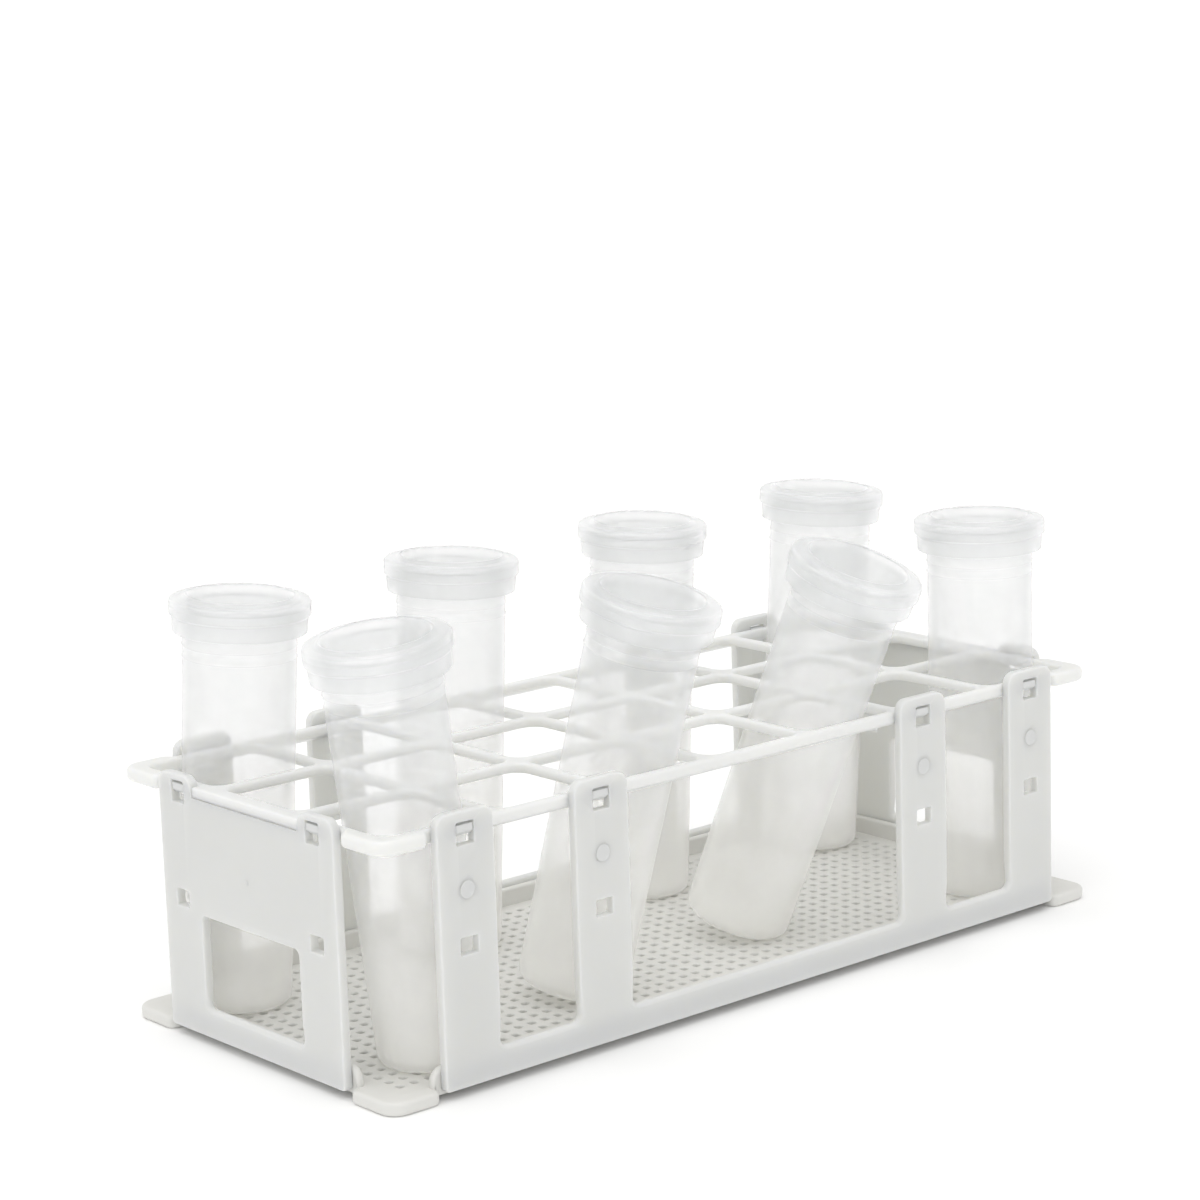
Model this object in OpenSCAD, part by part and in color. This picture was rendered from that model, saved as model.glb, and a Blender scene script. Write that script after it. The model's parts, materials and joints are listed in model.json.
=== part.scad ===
// Snap-together test tube rack: 21 square places for 30 mm class tubes, with eight tubes in it.
// X runs along the rack, Y across it, Z up. The origin is under the middle of the rack, on the table.

/* [Grid] */
// Distance between neighbouring places, both ways
pitch = 36.65; // [36.4:0.05:38]
// Width of a grid bar
bar_w = 2.6; // [2.2:0.1:2.6]
// Thickness of the grid
bar_h = 3; // [2.6:0.1:3]
// Inside corner radius of a place
place_r = 4; // [2:0.5:5]
// Chamfer on the top and bottom edges of a place
place_c = 0.5; // [0.3:0.1:0.8]
// Height of the grid's top face above the table
grid_top = 71.5; // [70:0.5:72.5]

/* [Corner lugs and feet] */
// How far the corner lugs and feet stand out from the grid's edge
lug_out = 2.6; // [2:0.1:2.8]
// Outside corner radius of a lug or foot
lug_r = 5.5; // [3:0.5:7]
// Thickness of a corner lug
lug_h = 4; // [3.5:0.1:5]
// Thickness of a foot, which is also the height of the tray floor's top face
foot_h = 3.7; // [3:0.1:4.5]

/* [Base tray] */
// Thickness of the tray floor
floor_t = 2; // [1.5:0.1:2.5]
// Height of the rim's top edge above the table
rim_top = 9; // [8:0.5:9.5]
// Thickness of the rim
rim_t = 2.2; // [1.8:0.1:2.4]

/* [Panels] */
// Thickness of the four panels
panel_t = 2.8; // [2.6:0.1:3]
// Height of the panels' bottom edge above the table
panel_bottom = 2.6; // [2:0.1:3]
// Height of the rail along the bottom of each panel
rail_h = 8; // [7:0.5:9]
// Top of the side panels' uprights
upright_top = 75; // [74:0.5:77]
// Width of an outer and of an inner upright
upright_w = 18.4; // [17:0.1:19]
// Distance from the middle of the rack to an outer upright's middle
outer_upright_x = 105.6; // [104:0.1:106]
// Distance from the middle of the rack to an inner upright's middle
inner_upright_x = 60.4; // [58:0.1:62]
// Width of an end panel
end_w = 78.6; // [76:0.1:80]
// Top of the end panels' ears
ear_top = 74; // [73.5:0.5:76]
// Width of an end panel's ear
ear_w = 15; // [13:0.5:16]
// Width of the window in an end panel
window_w = 44; // [36:1:46]
// Top of the window in an end panel
window_top = 36.5; // [30:0.5:37]

/* [Snap fits] */
// Width of a snap window and of a mid hole
snap_w = 5.8; // [5:0.1:6.5]
// Height of a snap window
snap_h = 6; // [5.5:0.1:6]
// Height of a mid hole
mid_hole_h = 4.6; // [4:0.1:5.5]
// Height of the mid holes' middle above the table
mid_hole_z = 39.8; // [39.5:0.1:42]

/* [Tubes] */
// Outside diameter of a tube under its collar
tube_d = 31; // [29:0.1:31]
// Outside diameter of a tube at its foot
tube_foot_d = 30.4; // [28.6:0.1:30.4]
// Bore of a tube
tube_bore = 28.2; // [26:0.1:28.2]
// Length of a tube
tube_l = 114; // [105:1:125]
// Outside diameter of the lip
lip_d = 38.4; // [37:0.1:39]
// Outside diameter of the collar's bottom edge
skirt_d = 36.4; // [36:0.1:36.8]
// Height of the collar
collar_h = 10.2; // [9:0.1:11]

/* [Hidden] */
cols = 7;
rows = 3;
$fn = 64;
// Gap between pieces that snap together
fit_gap = 0.1;
// Gap that keeps each tube clear of the floor
tube_gap = 0.3;
eps = 0.5;

grid_half_x = (cols * pitch + bar_w) / 2;
grid_half_y = (rows * pitch + bar_w) / 2;
lug_half_x = grid_half_x + lug_out;
lug_half_y = grid_half_y + lug_out;
panel_in_x = grid_half_x + fit_gap;
panel_in_y = grid_half_y + fit_gap;
place_w = pitch - bar_w;

snap_z = grid_top - bar_h / 2 - 0.8;
pocket_z = 6.5;
ear_y = end_w / 2 - 9;
uprights = [-outer_upright_x, -inner_upright_x, inner_upright_x, outer_upright_x];
// A lug runs from its corner to just short of the panels on both sides
lug_len_x = lug_half_x - outer_upright_x - upright_w / 2 - 1.2;
lug_len_y = lug_half_y - end_w / 2 - 1.2;

tube_wall_floor = 1.6;
tube_foot_r = 2;
lip_h = 3;
step_drop = 5.6;
skirt_t = 1.3;

// Each tube: column and row of its place, how far it sits off the middle, its tilt and the tilt's heading
tubes = [
    [0, 2, 1.1, -1.1, 3.6, -45],
    [0, 0, 0.8, -1, 6.6, 180],
    [2, 2, 1.1, -1.1, 2.8, -23],
    [4, 2, 1.1, -0.7, 2.4, -59],
    [2, 0, 1, -0.6, 14, -64],
    [6, 2, 1.1, -1.1, 3.4, -34],
    [4, 0, -0.9, 0, 20.5, -67],
    [6, 0, -0.6, 0.6, 0, 0]
];

function place_x(col) = (col - (cols - 1) / 2) * pitch;
function place_y(row) = (row - (rows - 1) / 2) * pitch;

// A block lying on z = 0, centred in X and Y
module block(w, d, h) {
    translate([-w / 2, -d / 2, 0]) cube([w, d, h]);
}

// A block with upright edges of radius r
module rounded_block(w, d, h, r) {
    block(w - 2 * r, d, h);
    block(w, d - 2 * r, h);
    for (x = [-1, 1], y = [-1, 1])
        translate([x * (w / 2 - r), y * (d / 2 - r), 0]) cylinder(r = r, h = h);
}

// A rounded block whose sides slope out at 45 degrees over the height h
module flare(w, r, h) {
    for (turn = [0, 90]) rotate([90, 0, turn])
        linear_extrude(w - 2 * r, center = true)
            polygon([[-w / 2, 0], [w / 2, 0], [w / 2 + h, h], [-w / 2 - h, h]]);
    for (x = [-1, 1], y = [-1, 1])
        translate([x * (w / 2 - r), y * (w / 2 - r), 0]) cylinder(r1 = r, r2 = r + h, h = h);
}

// The pad of a lug or foot, at all four corners
module corner_pads(h) {
    for (x = [-1, 1], y = [-1, 1])
        translate([x * (lug_half_x - lug_len_x / 2), y * (lug_half_y - lug_len_y / 2), 0])
            rounded_block(lug_len_x, lug_len_y, h, lug_r);
}

// Places its children at every snap point, with -Y pointing out of the rack
module at_snap_points() {
    for (side = [0, 180], x = uprights)
        rotate([0, 0, side]) translate([x, -grid_half_y, 0]) children();
    for (side = [90, -90], y = [-ear_y, ear_y])
        rotate([0, 0, side]) translate([y, -grid_half_x, 0]) children();
}

// A tab with a sloped lower face, which clicks into a window or pocket
module snap_tab(reach, h) {
    translate([-snap_w / 2 + 0.4, 0, 0]) rotate([90, 0, 90])
        linear_extrude(snap_w - 0.8)
            polygon([[0.2, 0], [-reach * 0.6, 0], [-reach, h * 0.45], [-reach, h], [0.2, h]]);
}

// The grid's plate, with the edges of each place eased on top and underneath
module grid_plate() {
    difference() {
        translate([0, 0, grid_top - bar_h]) block(2 * grid_half_x, 2 * grid_half_y, bar_h);
        for (col = [0:cols - 1], row = [0:rows - 1]) translate([place_x(col), place_y(row), 0]) {
            translate([0, 0, grid_top - place_c]) flare(place_w, place_r, place_c + eps);
            translate([0, 0, grid_top - bar_h + place_c]) mirror([0, 0, 1])
                flare(place_w, place_r, place_c + eps);
        }
    }
}

module top_grid() {
    color("#f2f3f1") difference() {
        union() {
            grid_plate();
            // the ledge that covers the top edge of each end panel between its ears
            for (x = [-1, 1]) translate([x * (grid_half_x + lug_out / 2 - 0.1), 0, grid_top - bar_h])
                block(lug_out + 0.2, end_w - 2 * ear_w - 0.8, bar_h);
            translate([0, 0, grid_top - lug_h]) corner_pads(lug_h);
            at_snap_points() translate([0, 0, grid_top - bar_h + 0.1]) snap_tab(panel_t - 0.3, 2.6);
        }
        for (col = [0:cols - 1], row = [0:rows - 1])
            translate([place_x(col), place_y(row), grid_top - lug_h - eps])
                rounded_block(place_w, place_w, lug_h + 2 * eps, place_r);
    }
}

// One straight run of the tray's rim, with round ends, along X
module rim_run(len) {
    translate([0, 0, foot_h - floor_t]) {
        block(len - rim_t, rim_t, rim_top - foot_h + floor_t);
        for (x = [-1, 1]) translate([x * (len - rim_t) / 2, 0, 0])
            cylinder(d = rim_t, h = rim_top - foot_h + floor_t);
    }
}

module base_tray() {
    rim_x = 2 * (outer_upright_x + upright_w / 2 + 2.4);
    rim_y = end_w + 4;
    color("#f2f3f1") {
        corner_pads(foot_h);
        translate([0, 0, foot_h - floor_t]) block(2 * grid_half_x, 2 * grid_half_y, floor_t);
        for (side = [0, 180]) rotate([0, 0, side])
            translate([0, -grid_half_y + rim_t / 2, 0]) rim_run(rim_x);
        for (side = [90, -90]) rotate([0, 0, side])
            translate([0, -grid_half_x + rim_t / 2, 0]) rim_run(rim_y);
        at_snap_points() translate([0, 0, pocket_z - 1.2]) snap_tab(1.2, 2);
    }
}

// An upright plate standing on z = 0 in the XZ plane, its outer face on -Y, with rounded top corners
module plate(w, h, r) {
    translate([-w / 2, -panel_t, 0]) cube([w, panel_t, h - r]);
    translate([-w / 2 + r, -panel_t, 0]) cube([w - 2 * r, panel_t, h]);
    for (x = [-1, 1]) translate([x * (w / 2 - r), 0, h - r])
        rotate([90, 0, 0]) cylinder(r = r, h = panel_t);
}

// A bottom rail whose top edge is fully rounded
module rail(w) {
    translate([-w / 2, -panel_t, 0]) cube([w, panel_t, rail_h - panel_t / 2]);
    translate([-w / 2, -panel_t / 2, rail_h - panel_t / 2])
        rotate([0, 90, 0]) cylinder(d = panel_t, h = w);
}

// The snap window and the mid hole right through the panel, and the pocket in its inner face for the tray
module snap_cuts() {
    translate([-snap_w / 2, -panel_t - eps, snap_z - snap_h / 2]) cube([snap_w, panel_t + 2 * eps, snap_h]);
    translate([-snap_w / 2, -panel_t - eps, mid_hole_z - mid_hole_h / 2])
        cube([snap_w, panel_t + 2 * eps, mid_hole_h]);
    translate([-snap_w / 2, -1.4, pocket_z - 1.6]) cube([snap_w, 1.4 + eps, 3]);
}

module side_panel() {
    translate([0, -panel_in_y, 0]) difference() {
        translate([0, 0, panel_bottom]) {
            rail(2 * outer_upright_x + upright_w);
            for (x = uprights) translate([x, 0, 0]) plate(upright_w, upright_top - panel_bottom, 3.2);
        }
        for (x = uprights) translate([x, 0, 0]) snap_cuts();
    }
}

module end_panel() {
    shoulder = grid_top - bar_h - 0.2;
    translate([0, -panel_in_x, 0]) difference() {
        translate([0, 0, panel_bottom]) {
            translate([-end_w / 2, -panel_t, 0]) cube([end_w, panel_t, shoulder - panel_bottom]);
            for (x = [-1, 1]) translate([x * (end_w - ear_w) / 2, 0, 0])
                plate(ear_w, ear_top - panel_bottom, 3.6);
        }
        translate([-window_w / 2, -panel_t - eps, panel_bottom + rail_h - panel_t / 2])
            cube([window_w, panel_t + 2 * eps, window_top - panel_bottom - rail_h + panel_t / 2]);
        for (x = [-ear_y, ear_y]) translate([x, 0, 0]) snap_cuts();
    }
    translate([0, -panel_in_x, panel_bottom]) rail(window_w);
}

module side_panel_front() { color("#eceff0") side_panel(); }
module side_panel_back() { color("#eceff0") rotate([0, 0, 180]) side_panel(); }
module end_panel_left() { color("#eceff0") rotate([0, 0, -90]) end_panel(); }
module end_panel_right() { color("#eceff0") rotate([0, 0, 90]) end_panel(); }

// One half of the tube's section, from its axis outward, as one outline
module tube_profile() {
    foot_edge = tube_foot_d / 2 - tube_foot_r;
    body_r = tube_d / 2;
    lip_r = lip_d / 2;
    skirt_r = skirt_d / 2;
    collar_z = tube_l - collar_h;
    lip_z = tube_l - lip_h;
    polygon([
        [0, 0],
        for (a = [-90:10:0]) [foot_edge + tube_foot_r * cos(a), tube_foot_r + tube_foot_r * sin(a)],
        // two fine rings under the collar
        for (drop = [6.9, 3.7]) each [[body_r, collar_z - drop], [body_r + 0.15, collar_z - drop],
                                      [body_r + 0.15, collar_z - drop + 0.5], [body_r, collar_z - drop + 0.5]],
        // up inside the collar, round its bottom edge and up its outside to a small step
        [body_r, lip_z], [skirt_r - skirt_t + 0.1, lip_z], [skirt_r - skirt_t, collar_z],
        [skirt_r, collar_z], [skirt_r + 0.4, tube_l - step_drop], [lip_r, tube_l - step_drop + 0.6],
        // over the lip, to the raised ring round the mouth
        for (a = [0:15:90]) [lip_r - 1 + cos(a), tube_l - 2 + sin(a)],
        [tube_bore / 2 + 1.3, tube_l - 1], [tube_bore / 2 + 0.9, tube_l], [tube_bore / 2, tube_l],
        [tube_bore / 2, tube_wall_floor], [0, tube_wall_floor]
    ]);
}

// Tube n stands in its place: its axis crosses the middle of the grid there, and its foot touches down
module tube(n) {
    t = tubes[n - 1];
    cross_z = grid_top - bar_h / 2;
    foot_edge = tube_foot_d / 2 - tube_foot_r;
    foot_z = foot_h + tube_gap + foot_edge * sin(t[4]) + tube_foot_r * (1 - cos(t[4]));
    color([0.93, 0.95, 0.95, 0.55])
        translate([place_x(t[0]) + t[2], place_y(t[1]) + t[3], cross_z])
            rotate([0, t[4], t[5]]) translate([0, 0, -(cross_z - foot_z) / cos(t[4])])
                rotate_extrude($fn = 96) tube_profile();
}

top_grid();
base_tray();
end_panel_left();
end_panel_right();
side_panel_front();
side_panel_back();
tube(1);  // tube_1
tube(2);  // tube_2
tube(3);  // tube_3
tube(4);  // tube_4
tube(5);  // tube_5
tube(6);  // tube_6
tube(7);  // tube_7
tube(8);  // tube_8
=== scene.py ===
import json
import math

import bmesh
import bpy
from mathutils import Matrix, Vector


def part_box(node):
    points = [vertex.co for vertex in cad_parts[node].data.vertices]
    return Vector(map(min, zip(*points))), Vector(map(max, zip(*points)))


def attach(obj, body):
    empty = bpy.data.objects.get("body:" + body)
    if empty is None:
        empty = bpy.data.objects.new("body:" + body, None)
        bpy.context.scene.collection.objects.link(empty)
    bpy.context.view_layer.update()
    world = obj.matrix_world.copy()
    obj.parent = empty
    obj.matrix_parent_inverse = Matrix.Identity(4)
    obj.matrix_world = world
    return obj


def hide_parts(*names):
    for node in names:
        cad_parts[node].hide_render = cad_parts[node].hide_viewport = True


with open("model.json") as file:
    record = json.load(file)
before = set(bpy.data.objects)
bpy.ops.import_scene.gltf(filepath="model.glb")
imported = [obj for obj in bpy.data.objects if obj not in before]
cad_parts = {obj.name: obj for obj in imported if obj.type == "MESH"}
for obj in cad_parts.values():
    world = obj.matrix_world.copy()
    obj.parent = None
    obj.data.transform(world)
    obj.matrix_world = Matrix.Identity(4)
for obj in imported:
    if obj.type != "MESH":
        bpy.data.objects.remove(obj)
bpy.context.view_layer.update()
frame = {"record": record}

MM = 0.001

# ---------------------------------------------------------------- sizes that the CAD gives
GRID_LOW, GRID_HIGH = (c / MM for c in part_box("top_grid"))
TRAY_LOW, TRAY_HIGH = (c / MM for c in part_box("base_tray"))
SIDE_LOW, SIDE_HIGH = (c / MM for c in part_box("side_panel_front"))
END_LOW, END_HIGH = (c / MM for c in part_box("end_panel_left"))
MOUNTS = {m["name"]: m for m in frame["record"]["mounts"]}

COLS, ROWS = 7, 3
PITCH, BAR = 36.65, 2.6
PLACE = PITCH - BAR
PLACE_R = 4.0
BORDER_X, BORDER_Y = (COLS * PITCH + BAR) / 2, (ROWS * PITCH + BAR) / 2
LUG_X, LUG_Y = GRID_HIGH.x, GRID_HIGH.y
GRID_TOP, GRID_T, LUG_T = GRID_HIGH.z, 3.0, GRID_HIGH.z - GRID_LOW.z
FLOOR_TOP, FLOOR_T = 3.7, 2.0
# how far the low moulding marks may stand out of a panel's face
MARK = 0.06
PANEL_T = SIDE_HIGH.y - SIDE_LOW.y - MARK
PANEL_OUT_Y, PANEL_OUT_X = -SIDE_LOW.y - MARK, -END_LOW.x - MARK
SIDE_HALF, END_HALF = SIDE_HIGH.x, END_HIGH.y
UPRIGHTS = (-105.6, -60.4, 60.4, 105.6)
UPRIGHT_HALF = SIDE_HALF - UPRIGHTS[3]
EAR_Y = END_HALF - 9
SNAP_Z, SNAP_W, SNAP_H = 69.2, 5.8, 6.0
MID_Z, MID_H = 39.8, 4.6
RAIL_TOP = 10.6
WINDOW_HALF, WINDOW_TOP = 22, 36.5
# edge radii of a panel: all round, and the fuller one along a rail
THIN, FULL = 0.5, PANEL_T / 2 - 0.1
HOLE_PITCH, HOLE = PITCH / 8, 2.2


# ---------------------------------------------------------------- outlines and closed shells
def outline(points, steps=5):
    """Closed outline from corners (x, y, corner radius, edge radius), with the corners rounded."""
    made = []
    for i, (x, y, radius, edge) in enumerate(points):
        here = Vector((x, y))
        if radius <= 0:
            made.append((x, y, edge))
            continue
        a = (Vector(points[i - 1][:2]) - here).normalized()
        b = (Vector(points[(i + 1) % len(points)][:2]) - here).normalized()
        half = math.acos(max(-1, min(1, a.dot(b)))) / 2
        centre = here + (a + b).normalized() * radius / math.sin(half)
        start = here + a * radius / math.tan(half) - centre
        end = here + b * radius / math.tan(half) - centre
        turn = math.atan2(start.x * end.y - start.y * end.x, start.dot(end))
        for k in range(steps + 1):
            p = centre + Matrix.Rotation(turn * k / steps, 2) @ start
            made.append((p.x, p.y, edge))
    return made


def box_outline(x, y, w, h, radius, edge, hole=False, steps=4):
    """A rounded box about (x, y). Holes run the other way round."""
    signs = ((-1, -1), (1, -1), (1, 1), (-1, 1))
    points = [(x + sx * w / 2, y + sy * h / 2, radius, edge) for sx, sy in signs]
    return outline(points[::-1] if hole else points, steps)


def plate(bm, loops, place, depth, steps=3):
    """A closed plate with rounded edges from one outline and its holes. place(u, v, w) gives the
    point at depth w, and depth is a number or a function of (u, v)."""
    front, back = [], []
    for loop in loops:
        n = len(loop)
        rings = [[] for _ in range(2 * steps + 2)]
        for i in range(n):
            x0, y0, _ = loop[i - 1]
            x1, y1, edge = loop[i]
            x2, y2, _ = loop[(i + 1) % n]
            d1, d2 = Vector((x1 - x0, y1 - y0)).normalized(), Vector((x2 - x1, y2 - y1)).normalized()
            n1, n2 = Vector((-d1.y, d1.x)), Vector((-d2.y, d2.x))
            inward = (n1 + n2) / max(1 + n1.dot(n2), 0.3)
            deep = depth(x1, y1) if callable(depth) else depth
            for k in range(steps + 1):
                t = k / steps * math.pi / 2
                u = x1 + inward.x * edge * (1 - math.sin(t))
                v = y1 + inward.y * edge * (1 - math.sin(t))
                w = edge * (1 - math.cos(t))
                rings[k].append(bm.verts.new(place(u, v, w) * MM))
                rings[-1 - k].append(bm.verts.new(place(u, v, deep - w) * MM))
        for a, b in zip(rings, rings[1:]):
            for i in range(n):
                j = (i + 1) % n
                face = bm.faces.new((a[i], a[j], b[j], b[i]))
                face.smooth = True
        front.append(rings[0])
        back.append(rings[-1])
    for side in (front, back):
        edges = [bm.edges.get((ring[i - 1], ring[i])) for ring in side for i in range(len(ring))]
        bmesh.ops.triangle_fill(bm, use_beauty=True, use_dissolve=False, edges=edges)


def lathe(bm, profile, where=None, segments=96):
    """A closed turned shell from (radius, height) points; it starts and ends on the axis."""
    where = where or Matrix.Identity(4)
    rings = []
    for r, z in profile:
        if r < 1e-6:
            rings.append([bm.verts.new(where @ Vector((0, 0, z)) * MM)])
            continue
        turns = (2 * math.pi * k / segments for k in range(segments))
        rings.append([bm.verts.new(where @ Vector((r * math.cos(a), r * math.sin(a), z)) * MM)
                      for a in turns])
    for a, b in zip(rings, rings[1:]):
        for i in range(segments):
            j = (i + 1) % segments
            if len(a) == 1:
                face = bm.faces.new((a[0], b[j], b[i]))
            elif len(b) == 1:
                face = bm.faces.new((a[i], a[j], b[0]))
            else:
                face = bm.faces.new((a[i], a[j], b[j], b[i]))
            face.smooth = True


def face_outward(bm):
    """Turns round any closed shell whose faces point into it."""
    left = set(bm.faces)
    while left:
        shell, todo = set(), [left.pop()]
        while todo:
            face = todo.pop()
            shell.add(face)
            for edge in face.edges:
                todo += [other for other in edge.link_faces if other in left]
                left.difference_update(edge.link_faces)
        volume = sum(face.normal.dot(face.calc_center_median()) * face.calc_area() for face in shell)
        if volume < 0:
            bmesh.ops.reverse_faces(bm, faces=list(shell))


def mark_trim(bm, start):
    """Gives the shells made since the face count start the piece's second material."""
    bm.faces.ensure_lookup_table()
    for face in bm.faces[start:]:
        face.material_index = 1


def finish_piece(bm, name, materials, body, nodes):
    """Turns the finished shells into one piece that rides on a body and stands for its CAD nodes."""
    bmesh.ops.remove_doubles(bm, verts=bm.verts, dist=2e-7)
    bmesh.ops.dissolve_degenerate(bm, dist=1e-7, edges=bm.edges)
    bmesh.ops.recalc_face_normals(bm, faces=bm.faces)
    face_outward(bm)
    mesh = bpy.data.meshes.new(name)
    bm.to_mesh(mesh)
    bm.free()
    for material in materials:
        mesh.materials.append(material)
    piece = bpy.data.objects.new(name, mesh)
    bpy.context.scene.collection.objects.link(piece)
    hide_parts(*nodes)
    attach(piece, body)
    return piece


# ---------------------------------------------------------------- materials
def new_material(name):
    material = bpy.data.materials.new(name)
    material.use_nodes = True
    tree = material.node_tree
    return material, tree, tree.nodes["Principled BSDF"]


def add(tree, kind, **values):
    node = tree.nodes.new(kind)
    for key, value in values.items():
        if key in node.inputs:
            node.inputs[key].default_value = value
        else:
            setattr(node, key, value)
    return node


def ramp(tree, source, stops):
    """A colour ramp fed by source; stops are (position, grey or colour)."""
    node = tree.nodes.new("ShaderNodeValToRGB")
    elements = node.color_ramp.elements
    while len(elements) < len(stops):
        elements.new(0.5)
    for element, (position, colour) in zip(elements, stops):
        element.position = position
        element.color = (*colour, 1) if isinstance(colour, tuple) else (colour, colour, colour, 1)
    tree.links.new(source, node.inputs["Fac"])
    return node


def rack_plastic(name, clean, tint, depth, grain=0.05):
    """Moulded polypropylene: faint cloudiness, fine mould grain, edges rubbed a little smoother and
    lightened a little by a painted highlight.
    """
    material, tree, shader = new_material(name)
    link = tree.links.new
    at = add(tree, "ShaderNodeTexCoord").outputs["Object"]
    cloud = add(tree, "ShaderNodeTexNoise", Scale=28.0, Detail=4.0, Roughness=0.55)
    fine = add(tree, "ShaderNodeTexNoise", Scale=1500.0, Detail=3.0, Roughness=0.6)
    flow = add(tree, "ShaderNodeTexNoise", Scale=90.0, Detail=2.0, Distortion=1.5)
    for texture in (cloud, fine, flow):
        link(at, texture.inputs["Vector"])
    colour = ramp(tree, cloud.outputs["Fac"], [(0.3, tint), (0.7, clean)])
    # convex edges found by pointiness: a painted highlight lightens their colour a little, and their
    # roughness is lowered a little
    edges = ramp(tree, add(tree, "ShaderNodeNewGeometry").outputs["Pointiness"], [(0.5, 0.0), (0.58, 1.0)])
    edge_highlight = add(tree, "ShaderNodeMix", data_type="RGBA")
    link(edges.outputs["Color"], edge_highlight.inputs["Factor"])
    link(colour.outputs["Color"], edge_highlight.inputs["A"])
    edge_highlight.inputs["B"].default_value = tuple(min(1.0, c * 1.03) for c in clean) + (1.0,)
    link(edge_highlight.outputs["Result"], shader.inputs["Base Color"])
    rough = ramp(tree, flow.outputs["Fac"], [(0.25, 0.38), (0.75, 0.5)])
    rubbed = add(tree, "ShaderNodeMix", data_type="FLOAT")
    link(edges.outputs["Color"], rubbed.inputs["Factor"])
    link(rough.outputs["Color"], rubbed.inputs["A"])
    rubbed.inputs["B"].default_value = 0.3
    link(rubbed.outputs["Result"], shader.inputs["Roughness"])
    bump = add(tree, "ShaderNodeBump", Strength=grain, Distance=0.0002)
    link(fine.outputs["Fac"], bump.inputs["Height"])
    waves = add(tree, "ShaderNodeBump", Strength=0.08, Distance=0.001)
    link(cloud.outputs["Fac"], waves.inputs["Height"])
    link(bump.outputs["Normal"], waves.inputs["Normal"])
    link(waves.outputs["Normal"], shader.inputs["Normal"])
    shader.inputs["IOR"].default_value = 1.49
    shader.inputs["Specular IOR Level"].default_value = 0.4
    shader.inputs["Subsurface Weight"].default_value = 0.9 if depth else 0.0
    shader.inputs["Subsurface Radius"].default_value = (1.0, 0.97, 0.85)
    shader.inputs["Subsurface Scale"].default_value = depth
    return material


def tube_plastic(name):
    """Frosted polypropylene: a milky film that thickens towards the foot, streaked along the tube. Its
    colour is painted lighter towards the foot, with a faint painted glow there, as painted light for the
    shade low in the rack.
    """
    material, tree, shader = new_material(name)
    link = tree.links.new
    at = add(tree, "ShaderNodeAttribute", attribute_name="local").outputs["Vector"]
    split = add(tree, "ShaderNodeSeparateXYZ")
    link(at, split.inputs["Vector"])
    height = add(tree, "ShaderNodeMapRange")
    link(split.outputs["Z"], height.inputs["Value"])
    height.inputs["From Max"].default_value = 0.114
    stretch = add(tree, "ShaderNodeMapping")
    stretch.inputs["Scale"].default_value = (1.0, 1.0, 0.12)
    link(at, stretch.inputs["Vector"])
    streaks = add(tree, "ShaderNodeTexNoise", Scale=240.0, Detail=3.0)
    link(stretch.outputs["Vector"], streaks.inputs["Vector"])
    frost = add(tree, "ShaderNodeTexNoise", Scale=2200.0, Detail=2.0)
    cloud = add(tree, "ShaderNodeTexNoise", Scale=45.0, Detail=3.0)
    for texture in (frost, cloud):
        link(at, texture.inputs["Vector"])
    film = ramp(tree, height.outputs["Result"],
                [(0.0, 0.32), (0.3, 0.2), (0.6, 0.11), (0.86, 0.09), (0.92, 0.16)])
    vary = add(tree, "ShaderNodeMath", operation="MULTIPLY_ADD")
    link(cloud.outputs["Fac"], vary.inputs[0])
    vary.inputs[1].default_value = 0.08
    link(film.outputs["Color"], vary.inputs[2])
    edge = add(tree, "ShaderNodeLayerWeight", Blend=0.3)
    rim = add(tree, "ShaderNodeMath", operation="MULTIPLY_ADD")
    link(edge.outputs["Facing"], rim.inputs[0])
    rim.inputs[1].default_value = 0.26
    link(vary.outputs["Value"], rim.inputs[2])
    link(rim.outputs["Value"], shader.inputs["Alpha"])
    # colour runs from a light cream at the foot to grey at the lip; the extra lightness at the foot is
    # painted light against the shade there
    colour = ramp(tree, height.outputs["Result"],
                  [(0.0, (0.955, 0.945, 0.905)), (0.45, (0.91, 0.91, 0.895)),
                   (0.65, (0.84, 0.85, 0.85)), (1.0, (0.76, 0.775, 0.78))])
    link(colour.outputs["Color"], shader.inputs["Base Color"])
    # a faint painted glow low on the tube: emission standing in for light that doesn't reach the foot in the
    # rack's shade
    painted_foot_glow = ramp(tree, height.outputs["Result"], [(0.0, 0.05), (0.5, 0.03), (0.75, 0.0)])
    link(painted_foot_glow.outputs["Color"], shader.inputs["Emission Strength"])
    shader.inputs["Emission Color"].default_value = (1.0, 0.98, 0.93, 1)
    rough = ramp(tree, streaks.outputs["Fac"], [(0.3, 0.42), (0.7, 0.52)])
    link(rough.outputs["Color"], shader.inputs["Roughness"])
    bump = add(tree, "ShaderNodeBump", Strength=0.08, Distance=0.0002)
    link(frost.outputs["Fac"], bump.inputs["Height"])
    link(bump.outputs["Normal"], shader.inputs["Normal"])
    shader.inputs["IOR"].default_value = 1.49
    shader.inputs["Specular IOR Level"].default_value = 0.25
    shader.inputs["Subsurface Weight"].default_value = 1.0
    shader.inputs["Subsurface Radius"].default_value = (1.0, 1.0, 0.95)
    shader.inputs["Subsurface Scale"].default_value = 0.006
    return material


WHITE = rack_plastic("rack_white", (0.66, 0.667, 0.662), (0.645, 0.652, 0.647), 0.006)
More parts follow.
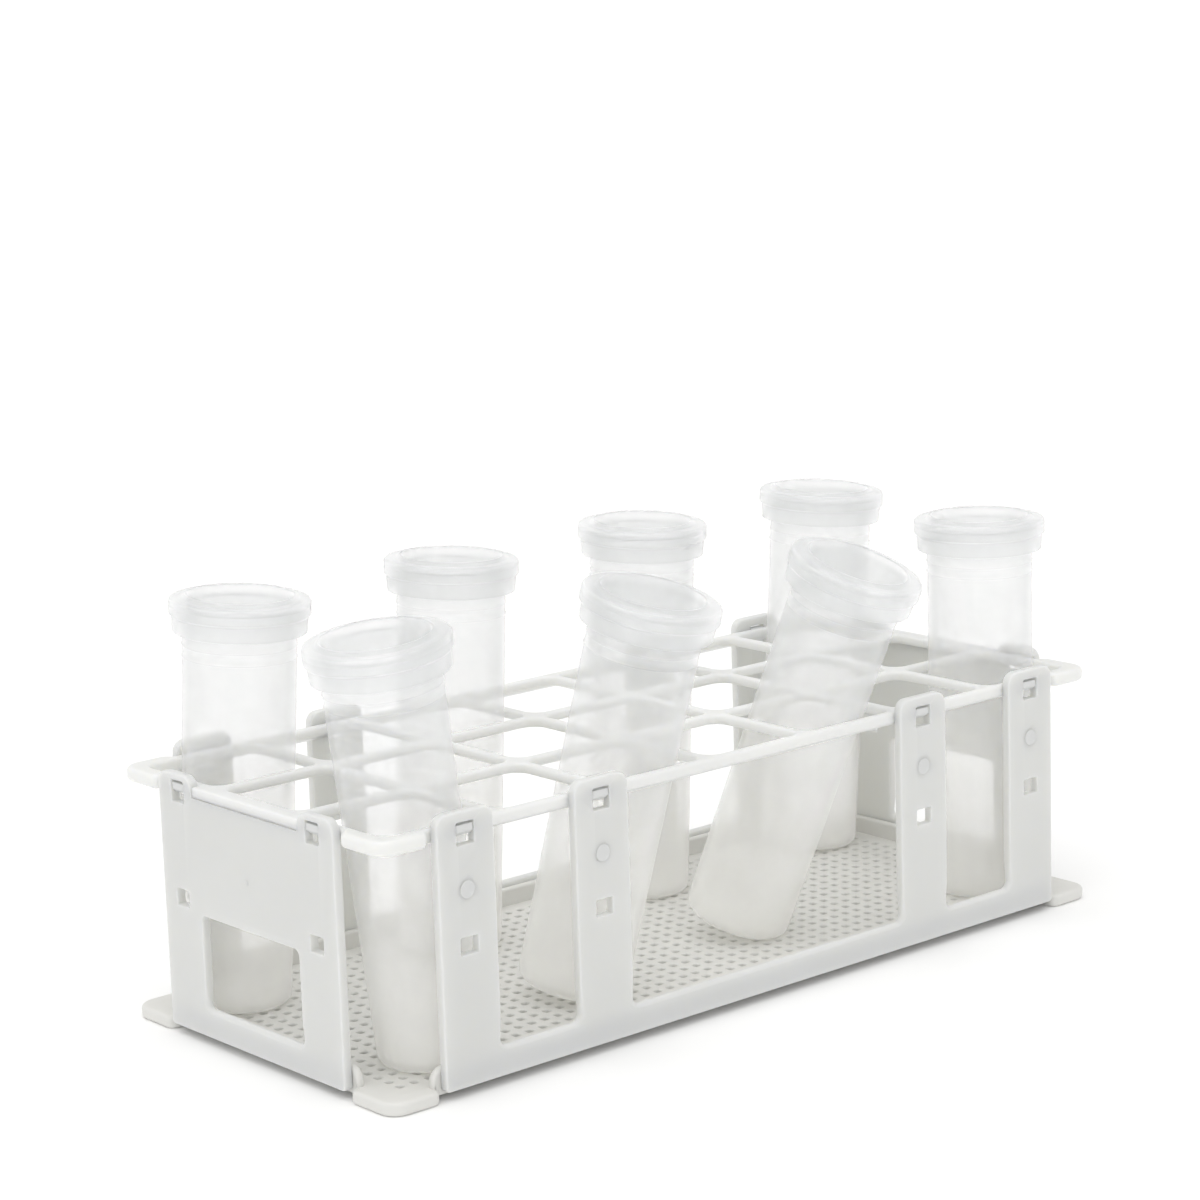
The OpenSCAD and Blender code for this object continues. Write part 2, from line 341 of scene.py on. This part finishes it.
# lighter than rack_white: painted light for the grid, whose top faces face the overhead light
GRID = rack_plastic("grid_white_painted_lit", (0.76, 0.765, 0.755), (0.745, 0.75, 0.74), 0.006)
TRIM = rack_plastic("rack_trim", (0.67, 0.677, 0.672), (0.655, 0.662, 0.657), 0.0)
IVORY = rack_plastic("tray_white", (0.745, 0.742, 0.715), (0.725, 0.72, 0.69), 0.0, grain=0.08)
FROSTED = tube_plastic("tube_frosted")


# ---------------------------------------------------------------- the two side panels and two end panels
def panel_place(turn, out):
    """Places panel coordinates (along, up, depth) on the side of the rack that turn faces."""
    spin = Matrix.Rotation(math.radians(turn), 3, "Z")
    return lambda u, v, w: spin @ Vector((u, w - out, v))


def small_marks(bm, place, marks):
    """Low rings and dots that ejector pins and the gate leave on a moulding's outer face."""
    for u, v, r, ring in marks:
        spot = Matrix.Translation(place(u, v, 0))
        normal = (place(u, v, -1) - place(u, v, 0)).normalized()
        spot = spot @ normal.to_track_quat("Z", "Y").to_matrix().to_4x4()
        low, high = 0.004, MARK - 0.01
        profile = [(0, low), (r, low), (r, 0.015), (r - 0.12, high)]
        profile += [(r - 0.4, high), (r - 0.55, 0.015), (0, 0.015)] if ring else [(r * 0.5, high), (0, high)]
        lathe(bm, profile, spot, 32)


def holes(places, z, w, h, edge):
    return [box_outline(x, z, w, h, 0.5, edge, hole=True, steps=3) for x in places]


def side_panel(name, turn):
    bm = bmesh.new()
    place = panel_place(turn, PANEL_OUT_Y)
    bottom, top = SIDE_LOW.z, SIDE_HIGH.z
    points = [(-SIDE_HALF, bottom, 1.2, THIN), (SIDE_HALF, bottom, 1.2, THIN)]
    for i in range(len(UPRIGHTS) - 1, -1, -1):
        right, left = UPRIGHTS[i] + UPRIGHT_HALF, UPRIGHTS[i] - UPRIGHT_HALF
        if i < len(UPRIGHTS) - 1:
            points += [(right, RAIL_TOP, 2.2, FULL), (right, RAIL_TOP + 8, 0, THIN)]
        points += [(right, top, 3.4, THIN), (left, top, 3.4, THIN)]
        if i > 0:
            points += [(left, RAIL_TOP + 8, 0, THIN), (left, RAIL_TOP, 2.2, FULL)]
    loops = [outline(points, 7)]
    loops += holes(UPRIGHTS, SNAP_Z, SNAP_W, SNAP_H, 0.25) + holes(UPRIGHTS, MID_Z, SNAP_W, MID_H, 0.3)
    plate(bm, loops, place, PANEL_T, 4)
    body_faces = len(bm.faces)
    small_marks(bm, place, [(x, 54.5, 2.4, True) for x in UPRIGHTS])
    mark_trim(bm, body_faces)
    return finish_piece(bm, name + "_shell", [WHITE, TRIM], "rack", [name])


def end_panel(name, turn):
    bm = bmesh.new()
    place = panel_place(turn, PANEL_OUT_X)
    bottom, top = END_LOW.z, END_HIGH.z
    shoulder, ear = GRID_TOP - GRID_T - 0.02, END_HALF - 15.0
    points = [(-END_HALF, bottom, 1.2, THIN), (END_HALF, bottom, 1.2, THIN), (END_HALF, top, 3.6, THIN),
              (ear, top, 3.4, THIN), (ear - 0.4, shoulder, 0.6, 0.25),
              (-ear + 0.4, shoulder, 0.6, 0.25), (-ear, top, 3.4, THIN), (-END_HALF, top, 3.6, THIN)]
    window = [(-WINDOW_HALF, WINDOW_TOP, 2.0, THIN), (WINDOW_HALF, WINDOW_TOP, 2.0, THIN),
              (WINDOW_HALF, RAIL_TOP + 6, 0, THIN), (WINDOW_HALF, RAIL_TOP, 2.0, FULL),
              (-WINDOW_HALF, RAIL_TOP, 2.0, FULL), (-WINDOW_HALF, RAIL_TOP + 6, 0, THIN)]
    ears = (-EAR_Y, EAR_Y)
    loops = [outline(points, 7), outline(window, 6)]
    loops += holes(ears, SNAP_Z, SNAP_W, SNAP_H, 0.25) + holes(ears, MID_Z, SNAP_W, MID_H, 0.3)
    plate(bm, loops, place, PANEL_T, 4)
    body_faces = len(bm.faces)
    small_marks(bm, place, [(0, 50, 0.7, False)])
    mark_trim(bm, body_faces)
    return finish_piece(bm, name + "_shell", [WHITE, TRIM], "rack", [name])


side_panel("side_panel_front", 0)
side_panel("side_panel_back", 180)
end_panel("end_panel_left", -90)
end_panel("end_panel_right", 90)


# ---------------------------------------------------------------- top grid
SNAP_POINTS = [(turn, x, BORDER_Y) for turn in (0, 180) for x in UPRIGHTS]
SNAP_POINTS += [(turn, y, BORDER_X) for turn in (90, -90) for y in (-EAR_Y, EAR_Y)]
LUG_END_X, LUG_END_Y = SIDE_HALF + 1.2, END_HALF + 1.2
LEDGE_Y = END_HALF - 15.4
CORNER_R = 5.5


def lug_outline(edge, lug_edge):
    """The grid's border with a lug standing out at each corner."""
    points = []
    for sx, sy in ((-1, -1), (1, -1), (1, 1), (-1, 1)):
        up = [(BORDER_X, LUG_END_Y, 1.0, edge), (LUG_X, LUG_END_Y + 1.6, 2.6, lug_edge),
              (LUG_X, LUG_Y, CORNER_R, lug_edge), (LUG_END_X + 1.6, LUG_Y, 2.6, lug_edge),
              (LUG_END_X, BORDER_Y, 1.0, edge)]
        if sx * sy < 0:
            up.reverse()
        points += [(sx * x, sy * y, r, e) for x, y, r, e in up]
        if sx * sy < 0:
            # the ledge over the end panel's top edge, between its ears
            points += [(sx * BORDER_X, sy * LEDGE_Y, 0.5, 0.6), (sx * LUG_X, sy * LEDGE_Y, 0.6, 0.6),
                       (sx * LUG_X, -sy * LEDGE_Y, 0.6, 0.6), (sx * BORDER_X, -sy * LEDGE_Y, 0.5, 0.6)]
    return outline(points, 7)


def grid_depth(x, y):
    """The grid thickens smoothly into its corner lugs."""
    def ease(t):
        t = max(0.0, min(1.0, t))
        return t * t * (3 - 2 * t)
    return GRID_T + (LUG_T - GRID_T) * ease((abs(x) - 112) / 6) * ease((abs(y) - 36.5) / 6)


def wedge_tab(bm, turn, along, out, profile, width):
    """A snap tab with a sloped lower face on the outside of a border."""
    spin = Matrix.Rotation(math.radians(turn), 3, "Z")
    loop = outline([(-y, z, 0.15, 0.2) for y, z in reversed(profile)], 2)
    plate(bm, [loop], lambda u, v, w: spin @ Vector((along - width / 2 + w, u - out, v)), width, 2)


def top_grid():
    bm = bmesh.new()
    centres = [((c - 3) * PITCH, (r - 1) * PITCH) for c in range(COLS) for r in range(ROWS)]
    loops = [lug_outline(1.1, 1.3)]
    loops += [box_outline(x, y, PLACE, PLACE, PLACE_R, 1.1, hole=True, steps=8) for x, y in centres]
    plate(bm, loops, lambda u, v, w: Vector((u, v, GRID_TOP - w)), grid_depth, 4)
    low = GRID_TOP - GRID_T + 0.1
    profile = [(0.02, low), (1.5, low), (2.55, low + 1.0), (2.55, low + 2.85), (0.02, low + 2.85)]
    body_faces = len(bm.faces)
    for turn, along, out in SNAP_POINTS:
        wedge_tab(bm, turn, along, out, profile, SNAP_W - 0.5)
    mark_trim(bm, body_faces)
    return finish_piece(bm, "top_grid_shell", [GRID, TRIM], "rack", ["top_grid"])


top_grid()


# ---------------------------------------------------------------- base tray
FIELD_COLS, FIELD_ROWS = 54, 22
FIELD_X, FIELD_Y = FIELD_COLS * HOLE_PITCH / 2, FIELD_ROWS * HOLE_PITCH / 2
# how far a hole's corners are drawn in, which rounds it
CORNER_CUT = 0.8
FOOT_BAND = 5.2
TRAY_UNDER = FLOOR_TOP - FLOOR_T


def perforated_field(bm):
    """The moulded mesh of the floor: one tile a hole, its mouth eased and its walls drafted."""
    half, inner = HOLE_PITCH / 2, HOLE / 2
    ring = [(-1, -1), (0, -1), (1, -1), (1, 0), (1, 1), (0, 1), (-1, 1), (-1, 0)]
    levels = ((FLOOR_TOP, inner + 0.35), (FLOOR_TOP - 0.35, inner), (TRAY_UNDER, inner + 0.1))
    for col in range(FIELD_COLS):
        for row in range(FIELD_ROWS):
            x, y = (col + 0.5) * HOLE_PITCH - FIELD_X, (row + 0.5) * HOLE_PITCH - FIELD_Y
            rims = []
            for z, size in levels:
                spots = [(size * (CORNER_CUT if i and j else 1), i, j) for i, j in ring]
                rims.append([bm.verts.new(Vector((x + reach * i, y + reach * j, z)) * MM)
                             for reach, i, j in spots])
            for z, rim in ((FLOOR_TOP, rims[0]), (TRAY_UNDER, rims[-1])):
                frame_ring = [bm.verts.new(Vector((x + half * i, y + half * j, z)) * MM) for i, j in ring]
                for k in range(8):
                    bm.faces.new((frame_ring[k - 1], frame_ring[k], rim[k], rim[k - 1]))
            for a, b in zip(rims, rims[1:]):
                for k in range(8):
                    bm.faces.new((a[k - 1], a[k], b[k], b[k - 1])).smooth = True
    steps = [(-FIELD_X + k * half, -FIELD_Y) for k in range(2 * FIELD_COLS)]
    steps += [(FIELD_X, -FIELD_Y + k * half) for k in range(2 * FIELD_ROWS)]
    steps += [(FIELD_X - k * half, FIELD_Y) for k in range(2 * FIELD_COLS)]
    steps += [(-FIELD_X, FIELD_Y - k * half) for k in range(2 * FIELD_ROWS)]
    return [(x, y, 0.0) for x, y in steps]


def tray_margin(bm, field_edge):
    """The solid margin round the mesh; its inner boundary joins the mesh point for point."""
    outer = box_outline(0, 0, 2 * BORDER_X, 2 * BORDER_Y, 3.0, 0.0, steps=6)
    for z in (FLOOR_TOP, TRAY_UNDER):
        edges = []
        for loop in (outer, field_edge):
            ring = [bm.verts.new(Vector((x, y, z)) * MM) for x, y, _ in loop]
            edges += [bm.edges.new((ring[i - 1], ring[i])) for i in range(len(ring))]
        bmesh.ops.triangle_fill(bm, use_beauty=True, use_dissolve=False, edges=edges)
    for (x0, y0, _), (x1, y1, _) in zip(outer, outer[1:] + outer[:1]):
        corners = [(x0, y0, FLOOR_TOP), (x1, y1, FLOOR_TOP), (x1, y1, TRAY_UNDER), (x0, y0, TRAY_UNDER)]
        bm.faces.new([bm.verts.new(Vector(c) * MM) for c in corners])


def tray_foot(bm, sx, sy):
    """A band round the corner, inside which the mesh shows, on a pad that fills the corner underneath."""
    top = FLOOR_TOP + 0.03
    x, y = sx * LUG_X, sy * LUG_Y
    inner_x, inner_y = sx * (LUG_X - FOOT_BAND), sy * (LUG_Y - FOOT_BAND)
    end_x, end_y = sx * LUG_END_X, sy * LUG_END_Y
    pad_x, pad_y = sx * (LUG_X - 1.5), sy * (LUG_Y - 1.5)
    band = [(end_x, y, 2.6, 1.1), (x, y, CORNER_R, 1.2), (x, end_y, 2.6, 1.1),
            (inner_x, end_y, 1.0, 0.5), (inner_x, inner_y, 2.5, 0.5), (end_x, inner_y, 1.0, 0.5)]
    pad = [(pad_x, pad_y, 4.0, 0.6), (end_x, pad_y, 1.5, 0.6),
           (end_x, end_y, 2.0, 0.6), (pad_x, end_y, 1.5, 0.6)]
    if sx * sy > 0:
        band.reverse()
    else:
        pad.reverse()
    plate(bm, [outline(band, 6)], lambda u, v, w: Vector((u, v, top - w)), top, 4)
    plate(bm, [outline(pad, 5)], lambda u, v, w: Vector((u, v, 0.02 + w)), 1.75, 2)


def tray_rim(bm, turn, out, half):
    """One side of the low rim, with round ends."""
    spin = Matrix.Rotation(math.radians(turn), 3, "Z")
    low, high = TRAY_UNDER + 0.1, TRAY_HIGH.z
    ends = [(-half, low, 0.5, 0.9), (half, low, 0.5, 0.9), (half, high, 4.2, 0.9), (-half, high, 4.2, 0.9)]
    plate(bm, [outline(ends, 9)], lambda u, v, w: spin @ Vector((u, w - out + 0.04, v)), 2.2, 4)


def base_tray():
    bm = bmesh.new()
    tray_margin(bm, perforated_field(bm))
    for sx in (-1, 1):
        for sy in (-1, 1):
            tray_foot(bm, sx, sy)
    for turn, out, half in ((0, BORDER_Y, SIDE_HALF + 2.4), (180, BORDER_Y, SIDE_HALF + 2.4),
                            (90, BORDER_X, END_HALF + 2.0), (-90, BORDER_X, END_HALF + 2.0)):
        tray_rim(bm, turn, out, half)
    profile = [(-0.6, 5.3), (0.7, 5.3), (1.2, 6.2), (1.2, 7.3), (-0.6, 7.3)]
    for turn, along, out in SNAP_POINTS:
        wedge_tab(bm, turn, along, out, profile, SNAP_W - 0.8)
    return finish_piece(bm, "base_tray_shell", [IVORY], "rack", ["base_tray"])


base_tray()


# ---------------------------------------------------------------- tubes
TUBE_L, BORE = 114.0, MOUNTS["tube_1_bore"]["dims"]["r_mm"]
TUBE_FLOOR = TUBE_L - MOUNTS["tube_1_bore"]["dims"]["length_mm"]


def bend(cx, cz, r, start, end, steps=5):
    """Points of an arc in the tube's section."""
    turns = (math.radians(start + (end - start) * k / steps) for k in range(steps + 1))
    return [(cx + r * math.cos(a), cz + r * math.sin(a)) for a in turns]


def tube_section():
    body, foot, lip, skirt = 15.5, 15.2, 19.2, 18.2
    top, collar = TUBE_L, TUBE_L - 10.2
    section = [(0, 0.25), (9.0, 0.25), (10.5, 0.0)]
    section += bend(foot - 2, 2, 2, -90, 0, 8)
    section += [(foot + 0.02, 4), (15.3, 35), (15.4, 65), (body - 0.02, 90)]
    for drop in (6.9, 3.7):
        z = collar - drop
        section += [(body, z - 0.12), (body + 0.1, z), (body + 0.15, z + 0.12), (body + 0.15, z + 0.38),
                    (body + 0.1, z + 0.5), (body, z + 0.62)]
    section += [(body, collar - 1), (body, top - 4.2), (body + 0.15, top - 3.4)]
    section += bend(body + 0.75, top - 3.6, 0.6, 180, 90, 4)
    section += [(skirt - 1.4, top - 3.05), (skirt - 1.2, top - 3.3), (skirt - 1.3, collar + 0.5)]
    section += bend(skirt - 1.0, collar + 0.3, 0.3, 180, 270, 3)
    section += bend(skirt - 0.3, collar + 0.3, 0.3, 270, 360, 3)
    section += [(skirt + 0.2, top - 6.9), (skirt + 0.32, top - 6.0), (skirt + 0.36, top - 5.75),
                (skirt + 0.6, top - 5.5), (lip - 0.2, top - 5.3), (lip - 0.05, top - 5.1), (lip, top - 4.8)]
    section += [(lip, top - 3.2), (lip - 0.06, top - 3.0), (lip - 0.06, top - 2.9), (lip, top - 2.7)]
    section += bend(lip - 1.0, top - 2.0, 1.0, 0, 90, 7)
    section += [(16.4, top - 0.98), (15.5, top - 0.9)]
    section += bend(BORE + 0.5, top - 0.4, 0.4, 45, 170, 5)
    section += [(BORE, top - 0.9), (BORE, top - 2.0), (BORE, 60), (BORE, 20), (BORE, TUBE_FLOOR + 2.0)]
    section += bend(BORE - 1.8, TUBE_FLOOR + 1.8, 1.8, 0, -90, 6)[1:]
    section += [(6, TUBE_FLOOR), (0, TUBE_FLOOR)]
    return section


def tube(n):
    mount = MOUNTS[f"tube_{n}_bore"]
    axis = Vector(mount["axis"]).normalized()
    foot = Vector(mount["pos_m"]) / MM - axis * (TUBE_FLOOR + TUBE_L) / 2
    stand = Matrix.Translation(foot) @ Vector((0, 0, 1)).rotation_difference(axis).to_matrix().to_4x4()
    bm = bmesh.new()
    lathe(bm, tube_section())
    own = bm.verts.layers.float_vector.new("local")
    for vert in bm.verts:
        vert[own] = vert.co
        vert.co = stand @ (vert.co / MM) * MM
    return finish_piece(bm, f"tube_{n}_shell", [FROSTED], f"tube_{n}_body", [f"tube_{n}"])


for number in range(1, 9):
    tube(number)


# ---------------------------------------------------------------- floor, light and camera
def direction(azimuth, elevation):
    """Unit vector to a light or the camera, from the front (-Y) round and up, in degrees."""
    a, e = math.radians(azimuth), math.radians(elevation)
    return Vector((math.sin(a) * math.cos(e), -math.cos(a) * math.cos(e), math.sin(e)))


def studio():
    scene = bpy.context.scene
    scene.view_settings.view_transform = "Standard"
    scene.cycles.transparent_max_bounces = 40
    scene.cycles.max_bounces = 12
    scene.cycles.diffuse_bounces = 6
    mesh = bpy.data.meshes.new("floor")
    mesh.from_pydata([(-60, -60, 0), (60, -60, 0), (60, 60, 0), (-60, 60, 0)], [], [(0, 1, 2, 3)])
    floor = bpy.data.objects.new("floor", mesh)
    scene.collection.objects.link(floor)
    material, _, shader = new_material("floor_white")
    shader.inputs["Base Color"].default_value = (0.99, 0.99, 0.99, 1)
    shader.inputs["Roughness"].default_value = 0.9
    shader.inputs["Specular IOR Level"].default_value = 0.1
    mesh.materials.append(material)
    world = scene.world or bpy.data.worlds.new("world")
    scene.world = world
    world.use_nodes = True
    tree = world.node_tree
    sky = tree.nodes["Background"]
    sky.inputs["Color"].default_value = (1.0, 1.0, 1.0, 1)
    seen = add(tree, "ShaderNodeLightPath")
    level = ramp(tree, seen.outputs["Is Camera Ray"], [(0.0, 0.65), (1.0, 1.0)])
    tree.links.new(level.outputs["Color"], sky.inputs["Strength"])
    # name, azimuth, elevation, strength, spread, tint
    lamps = (("key", -80, 80, 1.4, 80, (1.0, 0.99, 0.97)), ("fill", -38, 18, 0.3, 70, (0.97, 0.985, 1.0)))
    for name, azimuth, elevation, strength, spread, tint in lamps:
        lamp = bpy.data.lights.new(name, "SUN")
        lamp.energy = strength
        lamp.color = tint
        lamp.angle = math.radians(spread)
        light = bpy.data.objects.new(name, lamp)
        scene.collection.objects.link(light)
        light.rotation_mode = "QUATERNION"
        light.rotation_quaternion = direction(azimuth, elevation).to_track_quat("Z", "Y")


def camera():
    """A long lens from the front left, a little above, at the photograph's angle."""
    azimuth, elevation, roll, distance = -40.55, 11.45, -1.88, 0.9122
    target = Vector((-0.0081, 0, 0.1057))
    back = direction(azimuth, elevation)
    data = bpy.data.cameras.new("camera")
    data.lens = 97.3
    cam = bpy.data.objects.new("camera", data)
    bpy.context.scene.collection.objects.link(cam)
    cam.rotation_mode = "QUATERNION"
    cam.location = target + back * distance
    tilt = Matrix.Rotation(math.radians(roll), 3, "Z").to_quaternion()
    cam.rotation_quaternion = back.to_track_quat("Z", "Y") @ tilt
    bpy.context.scene.camera = cam


studio()
camera()
